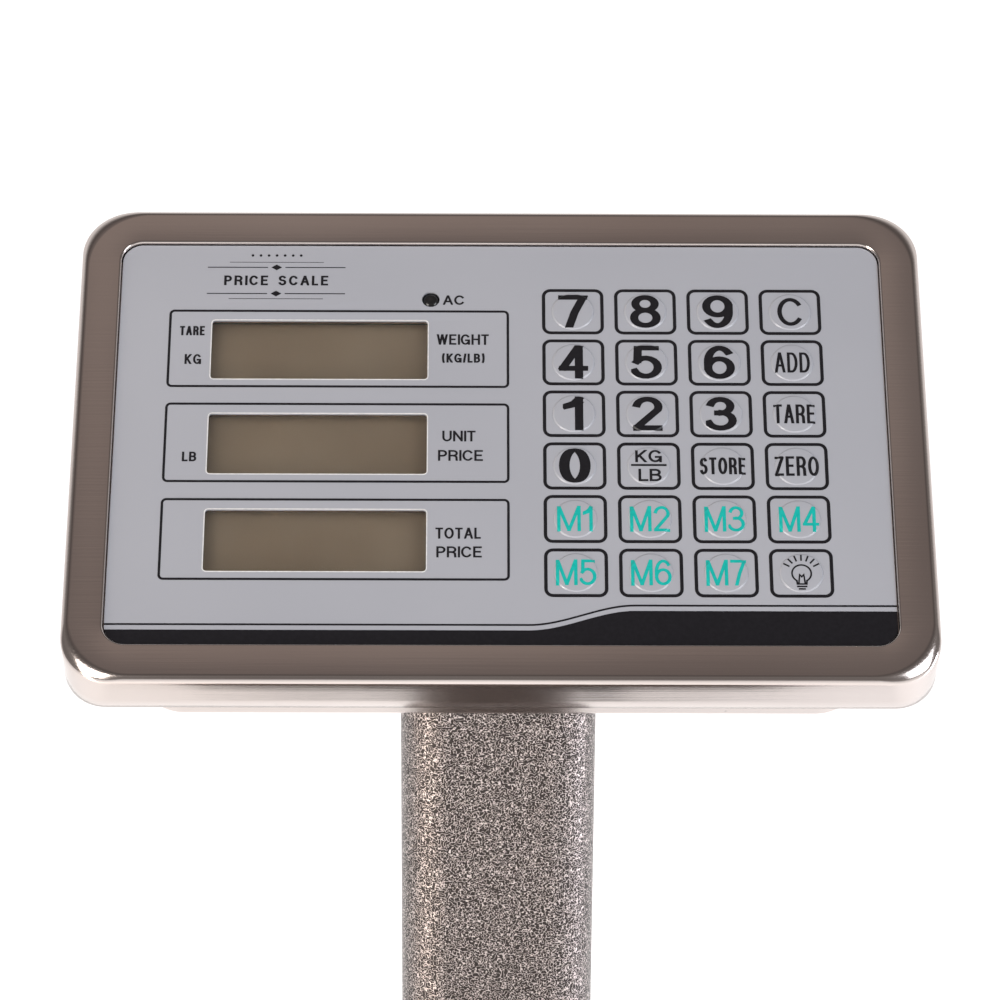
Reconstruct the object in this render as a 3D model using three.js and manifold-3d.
// A folding retail price scale: a stainless display head with a membrane keypad on a
// flat-oval folding column, over a platform with a lift-off stainless pan.
// Millimetres, +Z up. The user stands on the -Y side. The origin is on the floor, in the
// middle of the base.
import * as THREE from 'three';
import { mergeVertices } from 'three/addons/utils/BufferGeometryUtils.js';
import Module from 'manifold-3d';

const wasm = await Module();
wasm.setup();

// ---------------------------------------------------------------- driving dimensions
const GAP = 0.3; // clearance between pieces that meet
const SHEET = 1; // thickness of drawn stainless sheet

const PAN = { width: 300, length: 400, top: 100, skirt: 25, corner: 14, roll: 3, frontY: -238 };
const FRAME = { bottom: 22, height: 25, halfWidth: 140, bar: 40, railWidth: 50 };
const FOOT = { x: 120, frontY: -208, rearY: 184, padRadius: 18, padHeight: 12, studRadius: 4.8 };
const FOOT_TOP = 44; // top of the levelling studs
const CELL = { length: 150, width: 38, height: 25, pad: 35, lift: 5 };
const SPIDER = { height: 12, barWidth: 30, railWidth: 44, halfWidth: 125, halfLength: 150 };

const COLUMN = { y: 190, width: 60, depth: 30, corner: 14.5, wall: 2, heel: 12, head: 12 };
const FOLD = { z: 146, bolt: 5, cheek: 5, cheekInner: 30.4 };
const TILT = { height: 520, bolt: 4, ear: 3, earInner: 31.4, backAngle: 53 };

const HEAD = { width: 249.6, height: 158.2, corner: 14.5, roll: 2, skirt: 17.3, pocket: 3 };
const PANEL = { width: 225, height: 133.6, corner: 6, face: -1.2, thickness: 0.7 };
const BACK = { sideInset: 19, endInset: 9.2, depth: 24.7, corner: 14, roll: 4, flange: 0.8 };
const WINDOW = { x: -53.35, top: 30.6, pitch: 31.95, width: 63.7, height: 20.1, count: 3, margin: 0.4 };
const KEY = { x: 21.4, y: 43.99, stepX: 21.46, stepY: 17.53, radius: 6.3, crown: 0.7, travel: 0.5, spare: 0.15 };
const LAMP = { x: -20.7, y: 48.1, radius: 2.5 };
const PIVOT = { y: -15.4, z: -68 }; // head tilt axis, seen from the middle of the rim face
const REAR = { y: 36, width: 152, height: 40 };
const SWITCH = { y: 20, z: -28, width: 13, length: 19.2 };
const ROCKER = { half: 7.4, width: 9.4, root: -1, tip: 3.4, dip: 1.4, lean: 8 };
const SOCKET = { y: -30, z: -28, radius: 5, bore: 3.1, pin: 1 };
const GROMMET = { x: 46, y: -16, radius: 5 };
const PANE = { x0: -88, x1: -18.7, y0: -46, y1: 43 };
const DISPLAY = { glassTop: -5.6, glassBottom: -8.4, boardTop: -8.7, boardBottom: -10.3 };
const FRONT_GLASS = { x0: -87, x1: -19.5, y0: -45, y1: 42 };
const DISPLAY_BOARD = { x0: -92, x1: -14, y0: -50, y1: 54 };
const REAR_GLASS = { pane: 1.5, air: 0.6, thickness: 2.8, lap: 2, edge: 1 };
const TAIL_SLOT = { x0: 40, x1: 70, y0: -60, y1: -56 }; // for the keypad's flat tail
const MAIN_BOARD = { x0: 13, x1: 78, y0: -58, y1: 8, bottom: -32, top: -30.4 };
const BATTERY = { x0: -88, x1: 9, y0: -62, y1: -12, bottom: -39.5, top: -15.5 };

const LEAD_RADIUS = 2.4; // load-cell lead
const CIRCUIT = { top: -2, bottom: -2.8 }; // keypad circuit sheet under the overlay
const KEY_SIDES = 12;
const KEY_NAMES = [
  ['7', '8', '9', 'clear'],
  ['4', '5', '6', 'add'],
  ['1', '2', '3', 'tare'],
  ['0', 'kg_lb', 'store', 'zero'],
  ['m1', 'm2', 'm3', 'm4'],
  ['m5', 'm6', 'm7', 'light'],
];

// Values that follow from the ones above.
const panBottom = PAN.top - PAN.skirt;
const panMiddleY = PAN.frontY + PAN.length / 2;
const frameTop = FRAME.bottom + FRAME.height;
const cellBottom = frameTop + CELL.lift;
const cellTop = cellBottom + GAP + CELL.height;
const tiltZ = FOLD.z + TILT.height;
const panelRise = THREE.MathUtils.degToRad(90 - TILT.backAngle);
const floorTop = -HEAD.pocket;
const floorBottom = -HEAD.pocket - SHEET;
const backFace = -HEAD.skirt - BACK.depth;
const boxWidth = HEAD.width - 2 * BACK.sideInset;
const boxHeight = HEAD.height - 2 * BACK.endInset;

// ---------------------------------------------------------------- finishes
function finish(color, roughness, metalness) {
  return { color, roughness, metalness };
}

const STAINLESS = finish(0xa09690, 0.28, 1);
const PAINTED = finish(0x8f867f, 0.45, 0.35);
const STEEL = finish(0xb9b9bb, 0.35, 1);
const ALUMINIUM = finish(0xc4c6c8, 0.4, 1);
const OVERLAY = finish(0xaeaeb4, 0.42, 0);
const BLACK = finish(0x1d1d20, 0.5, 0);
const RUBBER = finish(0x202022, 0.85, 0);
const BOARD = finish(0x2c5a3c, 0.6, 0);
const GLASS = finish(0x76695a, 0.1, 0);
const CLEAR = finish(0xd8dcd8, 0.05, 0);

// ---------------------------------------------------------------- solid helpers
function solidOf(geometry) {
  const bare = geometry.clone();
  bare.deleteAttribute('normal');
  bare.deleteAttribute('uv');
  const merged = mergeVertices(bare, 1e-4);
  const vertProperties = new Float32Array(merged.attributes.position.array);
  const triVerts = new Uint32Array(merged.index.array);
  return new wasm.Manifold(new wasm.Mesh({ numProp: 3, vertProperties, triVerts }));
}

function geometryOf(solid) {
  const mesh = solid.getMesh();
  const geometry = new THREE.BufferGeometry();
  geometry.setAttribute('position', new THREE.BufferAttribute(mesh.vertProperties, 3));
  geometry.setIndex(new THREE.BufferAttribute(mesh.triVerts, 1));
  geometry.computeVertexNormals();
  return geometry;
}

// A box between two corners.
function block([x0, y0, z0], [x1, y1, z1]) {
  const geometry = new THREE.BoxGeometry(x1 - x0, y1 - y0, z1 - z0);
  geometry.translate((x0 + x1) / 2, (y0 + y1) / 2, (z0 + z1) / 2);
  return solidOf(geometry);
}

// A round bar or prism about the Z axis, from one height to another.
function post(radius, x, y, z0, z1, sides = 16) {
  const geometry = new THREE.CylinderGeometry(radius, radius, z1 - z0, sides);
  geometry.rotateX(Math.PI / 2);
  geometry.translate(x, y, (z0 + z1) / 2);
  return solidOf(geometry);
}

// A round bar or prism along the X axis.
function axle(radius, x0, x1, y, z, sides = 20) {
  const geometry = new THREE.CylinderGeometry(radius, radius, x1 - x0, sides);
  geometry.rotateZ(Math.PI / 2);
  geometry.translate((x0 + x1) / 2, y, z);
  return solidOf(geometry);
}

function roundedRectangle(width, height, radius) {
  const x = width / 2 - radius;
  const y = height / 2 - radius;
  const shape = new THREE.Shape();
  shape.absarc(x, y, radius, 0, Math.PI / 2);
  shape.absarc(-x, y, radius, Math.PI / 2, Math.PI);
  shape.absarc(-x, -y, radius, Math.PI, 1.5 * Math.PI);
  shape.absarc(x, -y, radius, 1.5 * Math.PI, 2 * Math.PI);
  shape.closePath();
  return shape;
}

// A flat outline in XY carried from z0 up to z1.
function slab(shape, z0, z1, curveSegments = 3) {
  const options = { depth: z1 - z0, bevelEnabled: false, curveSegments };
  const geometry = new THREE.ExtrudeGeometry(shape, options);
  geometry.translate(0, 0, z0);
  return solidOf(geometry);
}

// The same outline with both of its rims rolled over to the given radius.
function rolledSlab(shape, z0, z1, roll, bevelSegments = 2) {
  const options = {
    depth: z1 - z0 - 2 * roll,
    bevelThickness: roll,
    bevelSize: roll,
    bevelOffset: -roll,
    bevelSegments,
    curveSegments: 3,
  };
  const geometry = new THREE.ExtrudeGeometry(shape, options);
  geometry.translate(0, 0, z0 + roll);
  return solidOf(geometry);
}

// An outline drawn in YZ, carried along X from x0 to x1.
function cheek(shape, x0, x1, curveSegments = 4) {
  const options = { depth: x1 - x0, bevelEnabled: false, curveSegments };
  const geometry = new THREE.ExtrudeGeometry(shape, options);
  geometry.applyMatrix4(new THREE.Matrix4().set(0, 0, 1, x0, 1, 0, 0, 0, 0, 1, 0, 0, 0, 0, 0, 1));
  return solidOf(geometry);
}

// A lathed piece about the Z axis, moved to x, y.
function turned(profile, x, y, sides = 16) {
  const points = profile.map(([radius, z]) => new THREE.Vector2(radius, z));
  const geometry = new THREE.LatheGeometry(points, sides);
  geometry.rotateX(Math.PI / 2);
  geometry.translate(x, y, 0);
  return solidOf(geometry);
}

function joined(solids) {
  return solids.reduce((sum, solid) => sum.add(solid));
}

function cut(solid, tools) {
  return tools.reduce((left, tool) => left.subtract(tool), solid);
}

function bothSides(make) {
  return [make(-1), make(1)];
}

// ---------------------------------------------------------------- the object's groups
const scale = new THREE.Group();
const head = new THREE.Group();
const headOffset = new THREE.Group();
head.position.set(0, COLUMN.y, tiltZ);
head.rotation.x = panelRise;
headOffset.position.set(0, -PIVOT.y, -PIVOT.z);
head.add(headOffset);
scale.add(head);

function place(group, name, solid, look) {
  const mesh = new THREE.Mesh(geometryOf(solid), new THREE.MeshStandardMaterial(look));
  mesh.name = name;
  group.add(mesh);
}

// ---------------------------------------------------------------- head: casing
function windowCentres() {
  return Array.from({ length: WINDOW.count }, (_, i) => WINDOW.top - i * WINDOW.pitch);
}

function windowCuts(margin, z0, z1) {
  const halfWidth = WINDOW.width / 2 + margin;
  const halfHeight = WINDOW.height / 2 + margin;
  return windowCentres().map((y) => block(
    [WINDOW.x - halfWidth, y - halfHeight, z0],
    [WINDOW.x + halfWidth, y + halfHeight, z1],
  ));
}

// The front shell is one drawn sheet: rolled rim, skirt, and a pocket for the keypad.
function frontShell() {
  const pocketWidth = PANEL.width + 2 * GAP;
  const pocketHeight = PANEL.height + 2 * GAP;
  const pocketCorner = PANEL.corner + GAP;
  const outline = roundedRectangle(HEAD.width, HEAD.height, HEAD.corner);
  const body = rolledSlab(outline, -2 * HEAD.skirt, 0, HEAD.roll);
  const inside = roundedRectangle(HEAD.width - 2 * SHEET, HEAD.height - 2 * SHEET, HEAD.corner - SHEET);
  const cavity = slab(inside, -HEAD.skirt - SHEET, -SHEET);
  const pocketCup = slab(
    roundedRectangle(pocketWidth + 2 * SHEET, pocketHeight + 2 * SHEET, pocketCorner + SHEET),
    floorBottom,
    0,
  );
  const pocket = slab(roundedRectangle(pocketWidth, pocketHeight, pocketCorner), floorTop, SHEET);
  const behind = block(
    [-HEAD.width, -HEAD.height, -3 * HEAD.skirt],
    [HEAD.width, HEAD.height, -HEAD.skirt],
  );
  const tailSlot = block(
    [TAIL_SLOT.x0, TAIL_SLOT.y0, floorBottom - SHEET],
    [TAIL_SLOT.x1, TAIL_SLOT.y1, SHEET],
  );
  const lampHole = post(LAMP.radius + GAP, LAMP.x, LAMP.y, floorBottom - SHEET, SHEET);
  const cuts = [behind, cavity.subtract(pocketCup), pocket, tailSlot, lampHole];
  return cut(body, [...cuts, ...windowCuts(WINDOW.margin, floorBottom - SHEET, SHEET)]);
}

// The back cover is a drawn box on a flange that sits inside the front shell's skirt.
function backCover() {
  const slack = SHEET + GAP;
  const flangeBack = -HEAD.skirt + BACK.flange;
  const flangeOutline = roundedRectangle(
    HEAD.width - 2 * slack,
    HEAD.height - 2 * slack,
    HEAD.corner - slack,
  );
  const flange = slab(flangeOutline, flangeBack, flangeBack + SHEET);
  const boxOutline = roundedRectangle(boxWidth, boxHeight, BACK.corner);
  const box = rolledSlab(boxOutline, backFace, flangeBack + BACK.depth, BACK.roll);
  const inner = roundedRectangle(boxWidth - 2 * SHEET, boxHeight - 2 * SHEET, BACK.corner - SHEET);
  const cavity = rolledSlab(inner, backFace + SHEET, BACK.depth, BACK.roll - SHEET);
  const above = block(
    [-HEAD.width, -HEAD.height, flangeBack + SHEET],
    [HEAD.width, HEAD.height, 2 * BACK.depth],
  );
  return cut(box.add(flange), [cavity, above, ...backCoverHoles()]);
}

function backCoverHoles() {
  const wall = boxWidth / 2;
  const rear = block(
    [-REAR.width / 2, REAR.y - REAR.height / 2, backFace - SHEET],
    [REAR.width / 2, REAR.y + REAR.height / 2, backFace + 2 * SHEET],
  );
  const switchHole = block(
    [wall - 2 * SHEET, SWITCH.y - SWITCH.length / 2, SWITCH.z - SWITCH.width / 2],
    [wall + SHEET, SWITCH.y + SWITCH.length / 2, SWITCH.z + SWITCH.width / 2],
  );
  const socketHole = axle(SOCKET.radius + GAP, wall - 2 * SHEET, wall + SHEET, SOCKET.y, SOCKET.z);
  const leadHole = post(GROMMET.radius, GROMMET.x, GROMMET.y, backFace - SHEET, backFace + 2);
  return [rear, switchHole, socketHole, leadHole];
}

// ---------------------------------------------------------------- head: keypad
function keyCentre(row, column) {
  return [KEY.x + column * KEY.stepX, KEY.y - row * KEY.stepY];
}

function everyKey(make) {
  return KEY_NAMES.flatMap((names, row) => names.map((name, column) => {
    const [x, y] = keyCentre(row, column);
    return make(x, y, name);
  }));
}

const keyBottom = PANEL.face - PANEL.thickness;

function keypadOverlay() {
  const outline = roundedRectangle(PANEL.width, PANEL.height, PANEL.corner);
  const sheet = slab(outline, keyBottom, PANEL.face);
  const keyHoles = everyKey((x, y) => post(KEY.radius + 0.2, x, y, -HEAD.pocket, 0, KEY_SIDES));
  const lampHole = post(LAMP.radius + 0.2, LAMP.x, LAMP.y, -HEAD.pocket, 0);
  return cut(sheet, [...keyHoles, lampHole, ...windowCuts(0, -HEAD.pocket, 0)]);
}

// The circuit sheet has a shallow square well under each key for its travel.
function keypadCircuit() {
  const outline = roundedRectangle(PANEL.width, PANEL.height, PANEL.corner);
  const sheet = slab(outline, CIRCUIT.bottom, CIRCUIT.top);
  const wellFloor = keyBottom - KEY.travel - KEY.spare;
  const half = KEY.radius + GAP;
  const wells = everyKey((x, y) => block([x - half, y - half, wellFloor], [x + half, y + half, 0]));
  const opening = block(
    [PANE.x0 - GAP, PANE.y0 - GAP, -HEAD.pocket],
    [PANE.x1 + GAP, PANE.y1 + GAP, 0],
  );
  const lampHole = post(LAMP.radius + GAP, LAMP.x, LAMP.y, -HEAD.pocket, 0);
  return cut(sheet, [...wells, opening, lampHole]);
}

function keyButton(x, y) {
  const profile = [
    [0, keyBottom],
    [KEY.radius, keyBottom],
    [KEY.radius, PANEL.face],
    [KEY.radius * 0.72, PANEL.face + KEY.crown * 0.75],
    [0, PANEL.face + KEY.crown],
  ];
  return turned(profile, x, y, KEY_SIDES);
}

function lamp() {
  const bottom = DISPLAY.boardTop + GAP;
  const profile = [
    [0, bottom],
    [LAMP.radius + 0.8, bottom],
    [LAMP.radius + 0.8, floorBottom - GAP],
    [LAMP.radius, floorBottom - GAP],
    [LAMP.radius, PANEL.face - 0.9],
    [LAMP.radius * 0.7, PANEL.face - 0.2],
    [0, PANEL.face + 0.1],
  ];
  return turned(profile, LAMP.x, LAMP.y);
}

// ---------------------------------------------------------------- head: electronics

function displayWindow() {
  return block([PANE.x0, PANE.y0, CIRCUIT.bottom], [PANE.x1, PANE.y1, CIRCUIT.top]);
}

function frontGlass() {
  return block(
    [FRONT_GLASS.x0, FRONT_GLASS.y0, DISPLAY.glassBottom],
    [FRONT_GLASS.x1, FRONT_GLASS.y1, DISPLAY.glassTop],
  );
}

function displayBoard() {
  return block(
    [DISPLAY_BOARD.x0, DISPLAY_BOARD.y0, DISPLAY.boardBottom],
    [DISPLAY_BOARD.x1, DISPLAY_BOARD.y1, DISPLAY.boardTop],
  );
}

function mainBoard() {
  const board = block(
    [MAIN_BOARD.x0, MAIN_BOARD.y0, MAIN_BOARD.bottom],
    [MAIN_BOARD.x1, MAIN_BOARD.y1, MAIN_BOARD.top],
  );
  const chip = block([38, -30, -31], [52, -16, -28.6]);
  const terminals = block([48, -54, -31], [72, -44, -22]);
  const plug = block([18, -2, -31], [42, 4, -24]);
  const capacitor = post(5, 26, -44, -31, -18);
  return joined([board, chip, terminals, plug, capacitor]);
}

// A sealed lead-acid block with two push-on terminals.
function battery() {
  const body = block(
    [BATTERY.x0, BATTERY.y0, BATTERY.bottom],
    [BATTERY.x1, BATTERY.y1, BATTERY.top],
  );
  const terminals = [-80, -1].map((x) => block([x - 3, -13, -24], [x + 3, -7, -23.2]));
  return joined([body, ...terminals]);
}

function rearWindow() {
  const back = backFace + SHEET + GAP;
  return block(
    [-REAR.width / 2 - REAR_GLASS.lap, REAR.y - REAR.height / 2 - REAR_GLASS.lap, back],
    [
      REAR.width / 2 + REAR_GLASS.lap,
      REAR.y + REAR.height / 2 + REAR_GLASS.lap,
      back + REAR_GLASS.pane,
    ],
  );
}

function rearGlass() {
  const back = backFace + SHEET + GAP + REAR_GLASS.pane + REAR_GLASS.air;
  return block(
    [-REAR.width / 2 + REAR_GLASS.edge, REAR.y - REAR.height / 2 + REAR_GLASS.edge, back],
    [
      REAR.width / 2 - REAR_GLASS.edge,
      REAR.y + REAR.height / 2 - REAR_GLASS.edge,
      back + REAR_GLASS.thickness,
    ],
  );
}

// The rocker turns in a frame snapped into the right wall of the back cover.
function switchBody() {
  const wall = boxWidth / 2;
  const halfLength = SWITCH.length / 2 - GAP;
  const halfWidth = SWITCH.width / 2 - GAP;
  const body = block(
    [wall - 14, SWITCH.y - halfLength, SWITCH.z - halfWidth],
    [wall + 1, SWITCH.y + halfLength, SWITCH.z + halfWidth],
  );
  const bezel = block(
    [wall + GAP, SWITCH.y - halfLength - 1.4, SWITCH.z - halfWidth - 1.4],
    [wall + 2, SWITCH.y + halfLength + 1.4, SWITCH.z + halfWidth + 1.4],
  );
  const recess = block(
    [wall - 4, SWITCH.y - 8.3, SWITCH.z - 5],
    [wall + 3, SWITCH.y + 8.3, SWITCH.z + 5],
  );
  const tabs = [-5, 5].map((y) => block(
    [wall - 20, SWITCH.y + y - 2.4, SWITCH.z - 0.4],
    [wall - 13.5, SWITCH.y + y + 2.4, SWITCH.z + 0.4],
  ));
  return joined([body, bezel, ...tabs]).subtract(recess);
}

function switchRocker() {
  const outline = new THREE.Shape();
  outline.moveTo(-ROCKER.half, ROCKER.root);
  outline.lineTo(ROCKER.half, ROCKER.root);
  outline.lineTo(ROCKER.half, ROCKER.tip);
  outline.quadraticCurveTo(0, ROCKER.dip, -ROCKER.half, ROCKER.tip);
  outline.closePath();
  const options = { depth: ROCKER.width, bevelEnabled: false, curveSegments: 6 };
  const geometry = new THREE.ExtrudeGeometry(outline, options);
  geometry.translate(0, 0, -ROCKER.width / 2);
  geometry.rotateZ(-Math.PI / 2 - THREE.MathUtils.degToRad(ROCKER.lean));
  geometry.translate(boxWidth / 2, SWITCH.y, SWITCH.z);
  return solidOf(geometry);
}

function chargerSocket() {
  const wall = boxWidth / 2;
  const flange = axle(SOCKET.radius + 2, wall + GAP, wall + 1.8, SOCKET.y, SOCKET.z);
  const barrel = axle(SOCKET.radius, wall - 13, wall + 1, SOCKET.y, SOCKET.z);
  const bore = axle(SOCKET.bore, wall - 9, wall + 3, SOCKET.y, SOCKET.z, 16);
  const pin = axle(SOCKET.pin, wall - 10, wall, SOCKET.y, SOCKET.z, 12);
  return flange.add(barrel).subtract(bore).add(pin);
}

function leadGrommet() {
  const lip = GROMMET.radius + 1.5;
  const neck = GROMMET.radius - GAP;
  const profile = [
    [2.6, backFace - 2],
    [lip, backFace - 2],
    [lip, backFace - GAP],
    [neck, backFace - GAP],
    [neck, backFace + SHEET + GAP],
    [lip, backFace + SHEET + GAP],
    [lip, backFace + SHEET + 1.8],
    [2.6, backFace + SHEET + 1.8],
    [2.6, backFace - 2],
  ];
  return turned(profile, GROMMET.x, GROMMET.y);
}

// ---------------------------------------------------------------- head: tilt bracket
// A pressed U: a plate on the back cover, and two ears that straddle the column.
function headBracket() {
  const plateTop = backFace - GAP;
  const plateBottom = plateTop - TILT.ear;
  const outer = TILT.earInner + TILT.ear;
  const halfPlate = 23;
  const earEnd = 13;
  const ear = new THREE.Shape();
  ear.moveTo(PIVOT.y - halfPlate + 3, plateTop);
  ear.lineTo(PIVOT.y - earEnd, PIVOT.z);
  ear.absarc(PIVOT.y, PIVOT.z, earEnd, Math.PI, 2 * Math.PI);
  ear.lineTo(PIVOT.y + halfPlate - 3, plateTop);
  ear.closePath();
  const plate = block(
    [-outer, PIVOT.y - halfPlate, plateBottom],
    [outer, PIVOT.y + halfPlate, plateTop],
  );
  const ears = bothSides((side) => cheek(ear, ...spanX(side, TILT.earInner, outer)));
  const hole = axle(TILT.bolt + 0.2, -2 * outer, 2 * outer, PIVOT.y, PIVOT.z);
  return joined([plate, ...ears]).subtract(hole);
}

// The low and high X of a wall that stands between two distances on one side.
function spanX(side, near, far) {
  return side < 0 ? [-far, -near] : [near, far];
}

function clampBolt(radius, reach, y, z) {
  const headSize = radius * 1.85;
  const shank = axle(radius, -reach - radius, reach + 12, y, z);
  const hex = axle(headSize, -reach - radius * 1.3, -reach, y, z, 6);
  return shank.add(hex);
}

// A lobed hand knob on the threaded end of a clamp bolt.
function clampKnob(radius, bolt, reach, y, z) {
  const lobes = 6;
  const outline = new THREE.Shape();
  const steps = lobes * 6;
  for (let i = 0; i < steps; i += 1) {
    const angle = (i / steps) * 2 * Math.PI;
    const r = radius * (0.9 + 0.1 * Math.cos(lobes * angle));
    const point = [y + r * Math.cos(angle), z + r * Math.sin(angle)];
    outline[i === 0 ? 'moveTo' : 'lineTo'](...point);
  }
  outline.closePath();
  const stem = axle(radius * 0.5, reach, reach + 7, y, z);
  const grip = cheek(outline, reach + 6, reach + 6 + radius * 0.8);
  const bore = axle(bolt + GAP, reach - 1, reach + 14, y, z);
  return stem.add(grip).subtract(bore);
}

// ---------------------------------------------------------------- column
function flatOval(width, depth, radius) {
  return roundedRectangle(width, depth, radius);
}

function columnTube() {
  const bottom = FOLD.z - COLUMN.heel;
  const top = tiltZ + COLUMN.head;
  const wall = COLUMN.wall;
  const outer = slab(flatOval(COLUMN.width, COLUMN.depth, COLUMN.corner), bottom, top);
  const inner = slab(
    flatOval(COLUMN.width - 2 * wall, COLUMN.depth - 2 * wall, COLUMN.corner - wall),
    bottom - 1,
    top + 1,
  );
  const tube = outer.subtract(inner).translate([0, COLUMN.y, 0]);
  const foldHole = axle(FOLD.bolt + 0.2, -COLUMN.width, COLUMN.width, COLUMN.y, FOLD.z);
  const tiltHole = axle(TILT.bolt + 0.2, -COLUMN.width, COLUMN.width, COLUMN.y, tiltZ);
  return cut(tube, [foldHole, tiltHole]);
}

// The plug of the cap and the heel block both fit inside the tube.
function tubeFill(z0, z1) {
  const less = 2 * (COLUMN.wall + GAP);
  const outline = flatOval(
    COLUMN.width - less,
    COLUMN.depth - less,
    COLUMN.corner - COLUMN.wall - GAP,
  );
  return slab(outline, z0, z1).translate([0, COLUMN.y, 0]);
}

function columnCap() {
  const seat = tiltZ + COLUMN.head + GAP;
  const lid = rolledSlab(flatOval(COLUMN.width, COLUMN.depth, COLUMN.corner), seat, seat + 2.7, 1);
  return lid.translate([0, COLUMN.y, 0]).add(tubeFill(tiltZ + 6, seat + 1));
}

function columnHeel() {
  const fill = tubeFill(FOLD.z - COLUMN.heel + 1, FOLD.z + 36);
  const boltHole = axle(FOLD.bolt + 0.2, -COLUMN.width, COLUMN.width, COLUMN.y, FOLD.z);
  const leadHole = post(4, 16, COLUMN.y, FOLD.z - COLUMN.heel - 1, FOLD.z + 40);
  return cut(fill, [boltHole, leadHole]);
}

// ---------------------------------------------------------------- fold hinge
// Two cheeks and a rear stop plate on a bolted foot. The column leans on the stop when up.
function hingeBracket() {
  const outer = FOLD.cheekInner + FOLD.cheek;
  const floor = frameTop + GAP;
  const plateTop = floor + FOLD.cheek;
  const stopFace = COLUMN.y + COLUMN.depth / 2 + GAP;
  const stopLow = FOLD.z + 14;
  const stopHigh = FOLD.z + 44;
  const side = new THREE.Shape();
  side.moveTo(COLUMN.y - 22, floor);
  side.lineTo(COLUMN.y + 24, floor);
  side.lineTo(stopFace + 4, stopLow);
  side.lineTo(stopFace + 4, stopHigh);
  side.lineTo(COLUMN.y + 2, stopHigh);
  side.absarc(COLUMN.y - 8, FOLD.z + 10, 12, Math.PI / 3, Math.PI);
  side.closePath();
  const cheeks = bothSides((s) => cheek(side, ...spanX(s, FOLD.cheekInner, outer)));
  const foot = block([-55, COLUMN.y - 24, floor], [55, COLUMN.y + 24, plateTop]);
  const stop = block([-outer, stopFace, stopLow], [outer, stopFace + 4, stopHigh]);
  const hole = axle(FOLD.bolt + 0.1, -2 * outer, 2 * outer, COLUMN.y, FOLD.z);
  return joined([...cheeks, foot, stop]).subtract(hole);
}

// ---------------------------------------------------------------- base and platform
function baseFrame() {
  const halfRail = FRAME.railWidth / 2;
  const halfBar = FRAME.bar / 2;
  const bars = [FOOT.frontY, FOOT.rearY].map((y) => block(
    [-FRAME.halfWidth, y - halfBar, FRAME.bottom],
    [FRAME.halfWidth, y + halfBar, frameTop],
  ));
  const rail = block([-halfRail, FOOT.frontY, FRAME.bottom], [halfRail, FOOT.rearY, frameTop]);
  const shelf = block(
    [-60, COLUMN.y - 24, FRAME.bottom],
    [60, COLUMN.y + 24, frameTop],
  );
  const cellStart = panMiddleY - CELL.length / 2;
  const pad = block(
    [-CELL.width / 2, cellStart, frameTop - 1],
    [CELL.width / 2, cellStart + CELL.pad, cellBottom],
  );
  const studHoles = footPlaces().map(({ x, y }) => post(
    FOOT.studRadius + 0.4,
    x,
    y,
    FRAME.bottom - 1,
    frameTop + 1,
  ));
  return cut(joined([...bars, rail, shelf, pad]), studHoles);
}

// A bending-beam load cell with the two joined round holes that make its thin flexures.
function loadCell() {
  const start = panMiddleY - CELL.length / 2;
  const low = cellBottom + GAP;
  const middle = low + CELL.height / 2;
  const body = block(
    [-CELL.width / 2, start, low],
    [CELL.width / 2, start + CELL.length, low + CELL.height],
  );
  const holes = [-15, 15].map((y) => axle(10, -CELL.width, CELL.width, panMiddleY + y, middle));
  const slot = block(
    [-CELL.width, panMiddleY - 15, middle - 3],
    [CELL.width, panMiddleY + 15, middle + 3],
  );
  return cut(body, [...holes, slot]);
}

function platformFrame() {
  const low = cellTop + GAP;
  const beamLow = low + CELL.lift;
  const beamTop = beamLow + SPIDER.height;
  const halfRail = SPIDER.railWidth / 2;
  const cellEnd = panMiddleY + CELL.length / 2;
  const barY = SPIDER.halfLength - SPIDER.barWidth / 2;
  const pad = block([-CELL.width / 2, cellEnd - CELL.pad, low], [CELL.width / 2, cellEnd, beamTop]);
  const rail = block(
    [-halfRail, panMiddleY - SPIDER.halfLength, beamLow],
    [halfRail, panMiddleY + SPIDER.halfLength, beamTop],
  );
  const bars = [-barY, barY].map((y) => block(
    [-SPIDER.halfWidth, panMiddleY + y - SPIDER.barWidth / 2, beamLow],
    [SPIDER.halfWidth, panMiddleY + y + SPIDER.barWidth / 2, beamTop],
  ));
  const restTop = PAN.top - SHEET - GAP;
  const rests = [-1, 1].flatMap((sx) => [-1, 1].map((sy) => post(
    9,
    sx * (SPIDER.halfWidth - 14),
    panMiddleY + sy * barY,
    beamTop - 1,
    restTop,
  )));
  return joined([pad, rail, ...bars, ...rests]);
}

// The pan is a shallow drawn tray turned upside down over the platform frame.
function pan() {
  const outline = roundedRectangle(PAN.width, PAN.length, PAN.corner);
  const body = rolledSlab(outline, panBottom - PAN.skirt, PAN.top, PAN.roll);
  const inner = roundedRectangle(
    PAN.width - 2 * SHEET,
    PAN.length - 2 * SHEET,
    PAN.corner - SHEET,
  );
  const cavity = rolledSlab(inner, panBottom - 2 * PAN.skirt, PAN.top - SHEET, PAN.roll - SHEET);
  const below = block(
    [-PAN.width, -PAN.length, panBottom - 3 * PAN.skirt],
    [PAN.width, PAN.length, panBottom],
  );
  return cut(body, [cavity, below]).translate([0, panMiddleY, 0]);
}

function footPlaces() {
  return [
    { name: 'foot_front_left', x: -FOOT.x, y: FOOT.frontY },
    { name: 'foot_front_right', x: FOOT.x, y: FOOT.frontY },
    { name: 'foot_rear_left', x: -FOOT.x, y: FOOT.rearY },
    { name: 'foot_rear_right', x: FOOT.x, y: FOOT.rearY },
  ];
}

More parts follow.
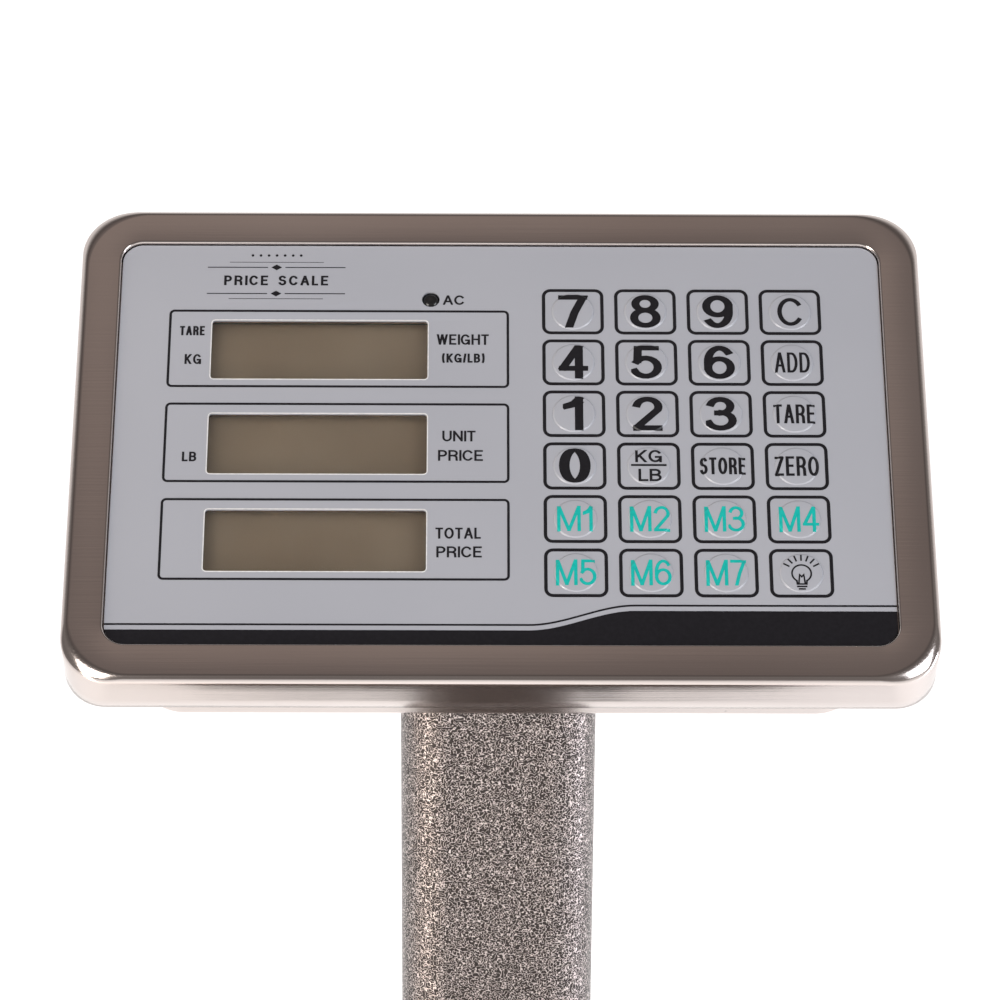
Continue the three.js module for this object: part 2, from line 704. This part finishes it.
// A rubber pad moulded on a threaded stud, with a collar to turn it by.
function levellingFoot(x, y) {
  const profile = [
    [0, 0],
    [FOOT.padRadius - 2, 0],
    [FOOT.padRadius, 2],
    [FOOT.padRadius, 5],
    [FOOT.padRadius - 6, FOOT.padHeight],
    [8, FOOT.padHeight],
    [8, FOOT.padHeight + 5],
    [FOOT.studRadius, FOOT.padHeight + 5],
    [FOOT.studRadius, FOOT_TOP],
    [0, FOOT_TOP],
  ];
  return turned(profile, x, y);
}

function bubbleLevel() {
  const low = frameTop + GAP;
  const profile = [[0, low], [9, low], [9, low + 6], [7.5, low + 7.5], [0, low + 8]];
  return turned(profile, -85, FOOT.rearY);
}

// ---------------------------------------------------------------- load-cell lead
function lead(points, steps) {
  const path = new THREE.CatmullRomCurve3(points.map((p) => new THREE.Vector3(...p)));
  const section = new THREE.Shape();
  section.absarc(0, 0, LEAD_RADIUS, 0, 2 * Math.PI);
  const options = { extrudePath: path, steps, bevelEnabled: false, curveSegments: 4 };
  return solidOf(new THREE.ExtrudeGeometry(section, options));
}

function baseLead() {
  const start = panMiddleY + CELL.length / 2 + 1;
  return lead([
    [0, start, 65],
    [0, start + 8, 64.6],
    [0, start + 26, 58],
    [0, start + 60, 53],
    [0, COLUMN.y - 45, 53],
    [0, COLUMN.y - 22, 60],
    [4, COLUMN.y - 4, 76],
    [12, COLUMN.y, 96],
    [16, COLUMN.y, 118],
  ], 16);
}

function columnLead() {
  return lead([
    [16, COLUMN.y, FOLD.z + 40],
    [12, COLUMN.y, FOLD.z + 120],
    [4, COLUMN.y + 4, FOLD.z + 260],
    [-4, COLUMN.y + 4, tiltZ - 90],
    [0, COLUMN.y + 6, tiltZ - 14],
  ], 12);
}

// ---------------------------------------------------------------- assembly
place(headOffset, 'front_shell', frontShell(), STAINLESS);
place(headOffset, 'back_cover', backCover(), STAINLESS);
place(headOffset, 'keypad_overlay', keypadOverlay(), OVERLAY);
place(headOffset, 'keypad_circuit', keypadCircuit(), CLEAR);
everyKey((x, y, name) => place(headOffset, `key_${name}`, keyButton(x, y), OVERLAY));
place(headOffset, 'display_window', displayWindow(), CLEAR);
place(headOffset, 'front_lcd', frontGlass(), GLASS);
place(headOffset, 'display_board', displayBoard(), BOARD);
place(headOffset, 'ac_lamp', lamp(), BLACK);
place(headOffset, 'main_board', mainBoard(), BOARD);
place(headOffset, 'battery', battery(), BLACK);
place(headOffset, 'rear_window', rearWindow(), CLEAR);
place(headOffset, 'rear_lcd', rearGlass(), GLASS);
place(headOffset, 'power_switch', switchBody(), BLACK);
place(headOffset, 'power_rocker', switchRocker(), BLACK);
place(headOffset, 'charger_socket', chargerSocket(), BLACK);
place(headOffset, 'lead_grommet', leadGrommet(), RUBBER);
place(headOffset, 'head_bracket', headBracket(), PAINTED);

const tiltReach = TILT.earInner + TILT.ear + GAP;
place(scale, 'tilt_bolt', clampBolt(TILT.bolt, tiltReach, COLUMN.y, tiltZ), STEEL);
place(scale, 'tilt_knob', clampKnob(17, TILT.bolt, tiltReach, COLUMN.y, tiltZ), BLACK);
place(scale, 'column_tube', columnTube(), PAINTED);
place(scale, 'column_cap', columnCap(), BLACK);
place(scale, 'column_heel', columnHeel(), STEEL);
place(scale, 'column_lead', columnLead(), RUBBER);

const foldReach = FOLD.cheekInner + FOLD.cheek + GAP;
place(scale, 'fold_bolt', clampBolt(FOLD.bolt, foldReach, COLUMN.y, FOLD.z), STEEL);
place(scale, 'fold_knob', clampKnob(24, FOLD.bolt, foldReach, COLUMN.y, FOLD.z), BLACK);
place(scale, 'hinge_bracket', hingeBracket(), PAINTED);
place(scale, 'base_frame', baseFrame(), PAINTED);
place(scale, 'load_cell', loadCell(), ALUMINIUM);
place(scale, 'base_lead', baseLead(), RUBBER);
place(scale, 'platform_frame', platformFrame(), PAINTED);
place(scale, 'pan', pan(), STAINLESS);
footPlaces().forEach(({ name, x, y }) => place(scale, name, levellingFoot(x, y), RUBBER));
place(scale, 'bubble_level', bubbleLevel(), GLASS);

export default scale;
